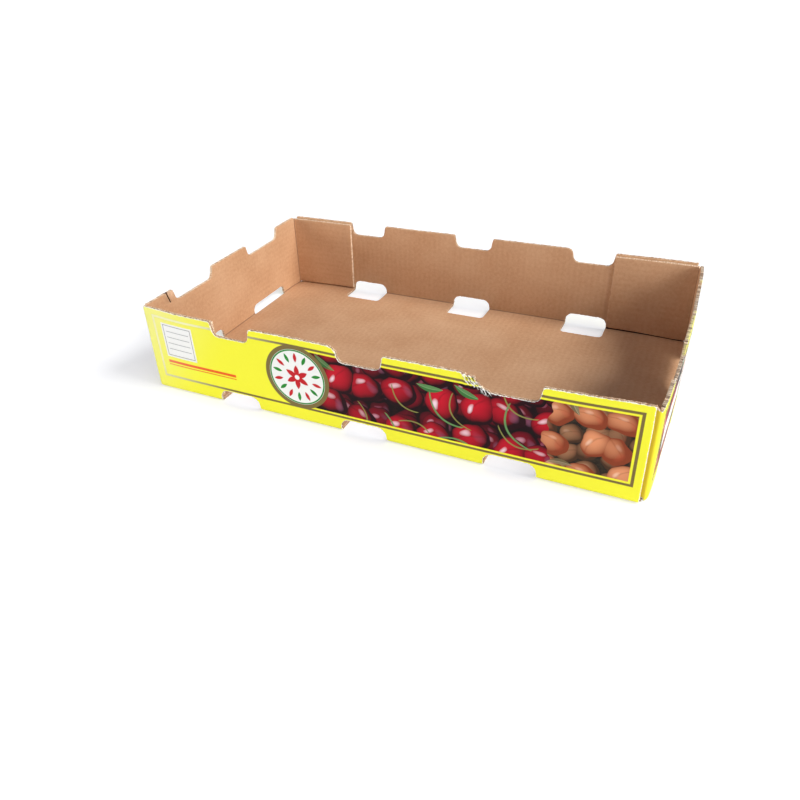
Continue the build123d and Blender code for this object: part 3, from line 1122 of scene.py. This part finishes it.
def medallion(tree, x, y, radius, below):
    """Olive ring, white field, a garland of petals and a small rosette."""
    r = (x * x + y * y).node("SQRT")
    angle = y.node("ARCTAN2", x)
    turn = angle * (petals / (2 * math.pi)) + 100.0
    odd = (turn * 0.5).node("FRACT").over(0.5, 0.01)
    along = (r - radius * 0.62) * (1 / (radius * 0.15))
    aside = (turn.node("FRACT") - 0.5) * r * (1 / (radius * 0.115))
    garland = (1.0 - along * along - abs(aside)).over(0.0, 0.12)
    lobe = abs((angle * (lobes / (2 * math.pi)) + 100.0).node("FRACT") - 0.5)
    rosette = (r * (1 / (radius * 0.38)) + lobe * 1.2).under(1.0, 0.06)
    colour = coats(
        tree, print_white,
        (garland, layer(tree, odd, petal_red, petal_green)),
        (rosette, petal_red),
        (abs(r - radius * 0.84).under(radius * 0.022, 0.3), petal_green),
        (r.under(radius * 0.075, 0.3), print_white),
        (r.over(radius * 0.87, 0.3), olive),
    )
    return layer(tree, r.under(radius, 0.3), colour, below)


def label(tree, x, y, left, low, size, below):
    """White square with a thin frame and ruled lines."""
    gap = box_distance(x, y, left, left + size, low, low + size)
    ruled = abs(((y - low) * (1 / 6.5)).node("FRACT") - 0.5).under(0.045, 0.04) * gap.under(-5.0, 0.3)
    frame_line = abs(gap + 2.2).under(0.35, 0.2)
    colour = layer(tree, ruled.node("MAXIMUM", frame_line) * 0.85, screen_colour(70, 70, 72), print_white)
    return layer(tree, gap.under(0.0), colour, below)


print("medallion", 2 * medallion_radius, "mm across, label", label_size, "mm")

# %% [markdown]
# The inks lie over each other as on a press, the ground first and the small fields last. The long walls
# carry the whole design, and the end walls a shorter one with a white panel in place of the label. One
# set of nodes draws both, and the mask `on_end` picks what differs, so the tree stays small.

# %% The print as it left the press
picture_from = -67.0        # across a long wall; on an end wall the picture fills the frame
medallion_at = (-67.0, 0.0)                 # across a long wall and an end wall
end_panel = (-122.0, 104.0, 36.0, 62.0)     # a white panel on the end walls: left, right, low, high
bars_box = (-225.0, -140.0, 28.0, 40.0)     # two orange bars under the label
bar_lines = ((35.4, 1.5), (31.8, 0.5))      # their middles and half widths


def fresh_ink(tree, across, up, frame_gap, heap_edge, mottle, on_end):
    """Yellow ground, frame line, pictures, white panel, medallion, label and bars."""
    on_long = 1.0 - on_end
    from_start = across - (picture_from + (-end_frame - picture_from) * on_end)
    in_picture = (0.0 - frame_gap).over(line_width / 2 + picture_gap) * from_start.over(0.0)
    ink = coats(
        tree, yellow,
        ((mottle - 0.3) * 0.25, yellow_deep),
        (abs(frame_gap).under(line_width / 2), olive),
        (in_picture, pictures(tree, across, up, heap_edge, mottle, on_long)),
        (box_distance(across, up, *end_panel).under(0.0) * on_end, print_white),
    )
    badge_x = across - (on_end * (medallion_at[1] - medallion_at[0]) + medallion_at[0])
    ink = medallion(tree, badge_x, up - (line_low + line_high) / 2, medallion_radius, ink)
    labelled = label(tree, across, up, label_left, label_low, label_size, ink)
    bars = sum(abs(up - middle).under(half) for middle, half in bar_lines)
    bars = bars * box_distance(across, up, *bars_box).under(0.0)
    labelled = layer(tree, bars, screen_colour(240, 96, 30), labelled)
    return layer(tree, on_long, labelled, ink)


# %% [markdown]
# The front's print is paler towards its upper left corner, and the frame line with it: faded ink with
# painted glare of the varnish. The upright creases are painted a darker ochre, as painted shade in the
# groove there. Where the crushed corner has buckled the liner, the ink has cracked off in white lines
# and flecks, with painted shade of dark openings among them.

# %% Fading with painted glare, painted shade at the creases, and cracks
fade_and_glare_length = 100.0         # from the front wall's left end


def segment_distance(x, y, start, end):
    """Distance from a straight stroke, as in stroke_distance, as a formula."""
    run, rise = end[0] - start[0], end[1] - start[1]
    share = ((x - start[0]) * run + (y - start[1]) * rise).node("DIVIDE", run * run + rise * rise, clamp=True)
    gap_x, gap_y = x - start[0] - share * run, y - start[1] - share * rise
    return (gap_x * gap_x + gap_y * gap_y).node("SQRT")


def used_ink(tree, ink, across, up, v, frame_gap, front, on_end):
    """Faded ink with painted glare at the front's upper left corner, and painted shade at the upright
    creases.
    """
    from_left, from_top = (across + length / 2) * (1 / fade_and_glare_length), (height - up) * (1 / height)
    # painted glare of the varnish, with faded ink, towards the front's upper left corner
    faded_and_glare = (1.3 - from_left - from_top * 0.6).node("MULTIPLY", front, clamp=True)
    line_faded_and_glare = (1.65 - from_left * 0.9 - from_top * 0.9).node("MULTIPLY", front, clamp=True)
    # painted shade in the groove at the upright creases, in a darker ochre
    crease_groove_shade = (abs(v) - (end_wall_edge + 0.62 * crease_run)).over(0.0, 3.0) * on_end
    return coats(
        tree, ink,
        (faded_and_glare * faded_and_glare * 0.24, print_white),
        (line_faded_and_glare * abs(frame_gap).under(line_width / 2), screen_colour(246, 242, 188)),
        (crease_groove_shade * 0.75, screen_colour(206, 166, 34)),
    )


def crack_masks(tree, across, up, mottle, fibre, front):
    """Masks of the cracked ink and of the painted shade of openings at the crushed corner."""
    crack = None
    for start, end in cracks:
        stroke = segment_distance(across + (mottle - 0.5) * 3.0, up + (fibre - 0.5) * 2.0, start, end)
        crack = crack.node("MINIMUM", stroke) if crack else stroke
    buckled = segment_distance(across, up, (crushed - 15.0, height), (crushed + 3.0, height - 13.0))
    slant_x, slant_y = across * 0.85 + up * 0.53, (up * 0.85 - across * 0.53) * 0.25
    flecks = noise(tree, slant_x, slant_y, 1.9, 2.0, 0.7, seed=17.0)
    flecked = flecks.over(0.53, 0.04) * buckled.under(4.5, 3.0)
    cracked = (crack.under(0.45, 0.35) * fibre.over(0.42, 0.1)).node("MAXIMUM", flecked) * front
    return cracked, flecks.under(0.46, 0.04) * buckled.under(4.0, 3.0) * front


# %% [markdown]
# All of it comes together on the outer liner. The long walls carry the whole design, the end walls a
# shorter one. The underside is left as pale paper past a narrow bleed. A varnish over the print gives
# it a soft shine, and along every cut a little ink has chipped off.

# %% The printed outer liner


def print_material():
    """The outer liner's printed face."""
    material, tree, shader = new_material("yellow print on white-top liner", 0.42)
    shader.inputs["Specular IOR Level"].default_value = 0.18
    s, v, across, up, on_end = wall_places(tree)
    fibre = noise(tree, s * 0.3, v, 0.6, 2.0, 0.6, seed=11.0)
    mottle = noise(tree, s, v, 4.0, 3.0, 0.6, seed=12.0)
    heap_edge = across + (noise(tree, s, v, 16.0, 1.0, seed=14.0) - 0.5) * 34.0
    front = (1.0 - on_end) * v.under(0.0)
    long_box = box_distance(across, up, *long_frame, line_low, line_high)
    end_box = box_distance(across, up, -end_frame, end_frame, line_low, line_high)
    frame_gap = long_box + (end_box - long_box) * on_end
    ink = fresh_ink(tree, across, up, frame_gap, heap_edge, mottle, on_end)
    ink = used_ink(tree, ink, across, up, v, frame_gap, front, on_end)
    past_base = (abs(s) - (hinge_x - bleed)).node("MAXIMUM", abs(v) - (hinge_y - bleed)).over(0.0, 1.0)
    bare = layer(tree, (mottle - 0.25) * 0.6, screen_colour(206, 196, 176), screen_colour(232, 226, 210))
    cracked, opening_shade = crack_masks(tree, across, up, mottle, fibre, front)
    chipped = (blank_place(tree, "cut")[0] + (mottle - 0.5) * 2.2).under(0.4, 0.3) * past_base
    cracked = cracked.node("MAXIMUM", chipped * fibre.over(0.4, 0.2))
    colour = coats(
        tree, bare,
        (past_base, ink),
        (cracked, print_white),
        # painted shade of the openings in the crushed corner
        (opening_shade * 0.85, screen_colour(58, 40, 30)),
    )
    feed(tree, shader.inputs["Base Color"], colour)
    feed(tree, shader.inputs["Roughness"], 0.55 - past_base * 0.15 + (mottle - 0.5) * 0.2 + cracked * 0.4)
    add_bump(tree, shader, fibre * 0.5 + mottle * 0.5, 0.035)
    return material


printed = print_material()
print("the print uses", len(printed.node_tree.nodes), "nodes")

# %% [markdown]
# ## Making the three papers
#
# The liners take five grid lines to a wave and the fluting six, because its own shape is the wave. Its
# lines stand further apart along the waves, where it is straight, to keep it under 200,000 triangles.
# Every paper rides on the tray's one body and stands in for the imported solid.

# %% Outer liner, fluting and inner liner
liner_grid = (5, 12.0, 8.0)         # lines to a wave, and steps along the waves in the band and its ends
fluting_grid = (6, 30.0, 16.0)
add_piece("outer_liner", folded_paper("outer", *liner_grid), [printed, kraft_face, white_edge])
add_piece("fluting", folded_paper("wave", *fluting_grid), [flute_paper, flute_paper, wave_edge])
add_piece("inner_liner", folded_paper("inner", *liner_grid), [kraft_face, kraft_face, brown_edge])

# %% [markdown]
# ## Floor, light and camera
#
# The tray stands on a plain pale floor that runs into a white backdrop. To the camera both are
# white, so the background stays clean while the floor still keeps a soft shadow. The light that comes
# from the backdrop itself is faint, and a little cooler than the lamps, as daylight is in a shade.

# %% Floor and backdrop
white = (1.0, 1.0, 1.0, 1.0)
floor_reach, floor_gap = 30.0, 0.0004       # metres: half its side, and its depth under the tray
floor_grey = (0.6, 0.6, 0.6, 1.0)
floor_glow = 0.49                           # what the camera sees added, so that the lit floor is white
sky_fill = 0.12
fill_colour = (0.5, 0.58, 1.0, 1.0)

floor_mesh = bpy.data.meshes.new("floor")
corners = floor_reach * np.array([(-1, -1), (1, -1), (1, 1), (-1, 1)])
floor_mesh.from_pydata(np.column_stack([corners, np.full(4, -floor_gap)]).tolist(), [], [(0, 1, 2, 3)])
floor = bpy.data.objects.new("floor", floor_mesh)
bpy.context.scene.collection.objects.link(floor)
floor_material, floor_tree, floor_shader = new_material("pale floor", 0.9)
floor_shader.inputs["Base Color"].default_value = floor_grey
floor_shader.inputs["Emission Color"].default_value = white
floor_paths = floor_tree.nodes.new("ShaderNodeLightPath")
floor_seen = Formula(floor_tree, floor_paths.outputs["Is Camera Ray"])
feed(floor_tree, floor_shader.inputs["Emission Strength"], floor_seen * floor_glow)
floor_mesh.materials.append(floor_material)
floor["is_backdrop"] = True

world = bpy.data.worlds.new("studio")
world.use_nodes = True
bpy.context.scene.world = world
sky_tree = world.node_tree
backdrop = sky_tree.nodes["Background"]
paths = sky_tree.nodes.new("ShaderNodeLightPath")
seen = Formula(sky_tree, paths.outputs["Is Camera Ray"])
for ray in ("Is Glossy Ray", "Is Transmission Ray"):
    seen = seen.node("MAXIMUM", Formula(sky_tree, paths.outputs[ray]))
feed(sky_tree, backdrop.inputs["Color"], layer(sky_tree, seen, white, fill_colour))
feed(sky_tree, backdrop.inputs["Strength"], seen * (1.0 - sky_fill) + sky_fill)
print("floor reaches", floor_reach, "m each way")

# %% [markdown]
# The shadows in the photograph tell where its light came from. The right wall's shade falls on the base
# and on the back wall's flap, so a broad light stands on the right, with a lower one nearer the front.
# A weaker one on the left shades the other flap, and two very low ones in front light the outside and
# the upper parts of the back wall. Every lamp is wide, so that all the shadows are soft.

# %% Lamps


def sun(name, round_from_right, above_floor, spread, level):
    """A far, wide lamp. level is how bright it makes a white surface that faces it.

    Its direction is (cos a cos e, -sin a cos e, sin e) for angles a, from +X towards the viewer, and e.
    """
    a, e = math.radians(round_from_right), math.radians(above_floor)
    towards = Vector((math.cos(a) * math.cos(e), -math.sin(a) * math.cos(e), math.sin(e)))
    lamp = bpy.data.lights.new(name, "SUN")
    lamp.energy = level * math.pi
    lamp.angle = math.radians(spread)
    holder = bpy.data.objects.new(name, lamp)
    holder.rotation_mode = "QUATERNION"
    holder.rotation_quaternion = towards.to_track_quat("Z", "Y")
    bpy.context.scene.collection.objects.link(holder)


for lamp in (
    ("right", -5, 44, 24, 0.82),
    ("right front", 28, 26, 26, 0.36),
    ("low front right", 55, 8, 26, 0.24),
    ("low front left", 125, 3, 24, 0.49),
    ("left", 170, 40, 26, 0.20),
):
    sun(*lamp)
print("lamps:", [item.name for item in bpy.data.lights])

# %% [markdown]
# The camera repeats the photograph's view. Its place, direction and lens come from fitting a camera
# to about seventy corners of the tray in the photograph. `heading` turns it from +Y, `down` tips it
# and `roll` leans it, and the small shift is the photograph's own framing.

# %% Camera
photo_size = 800
camera_place = Vector((268.6, -633.2, 392.6)) * mm
heading, down, roll = (math.radians(angle) for angle in (-28.238, 32.320, -3.361))
lens_pixels = 718.5                 # the lens's length, in pixels of the photograph
centre_pixel = (370.2, 397.7)       # where it looks straight ahead

forward = Vector((math.sin(heading) * math.cos(down), math.cos(heading) * math.cos(down), -math.sin(down)))
level_right = forward.cross(Vector((0, 0, 1))).normalized()
level_up = level_right.cross(forward)
right = level_right * math.cos(roll) + level_up * math.sin(roll)
up = level_up * math.cos(roll) - level_right * math.sin(roll)

camera_data = bpy.data.cameras.new("photograph")
camera_data.lens = lens_pixels / photo_size * camera_data.sensor_width
camera_data.shift_x = (photo_size / 2 - centre_pixel[0]) / photo_size
camera_data.shift_y = (centre_pixel[1] - photo_size / 2) / photo_size
camera_data.clip_start, camera_data.clip_end = 0.01, 20.0
camera = bpy.data.objects.new("photograph", camera_data)
camera.matrix_world = Matrix.Translation(camera_place) @ Matrix((right, up, -forward)).transposed().to_4x4()
bpy.context.scene.collection.objects.link(camera)
bpy.context.scene.camera = camera
bpy.context.scene.view_settings.view_transform = "Standard"
print(f"lens {camera_data.lens:.1f} mm, shift {camera_data.shift_x:.3f}, {camera_data.shift_y:.3f}")

# %% [markdown]
# Bowed walls and ragged rims may stand a little proud of the imported solid. Both boxes are printed.

# %% Both boxes, and the end
visual_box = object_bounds()
for name, box in (("packed", cad_box), ("visual", visual_box)):
    print(name, "box:", [[round(value, 4) for value in point] for point in box])
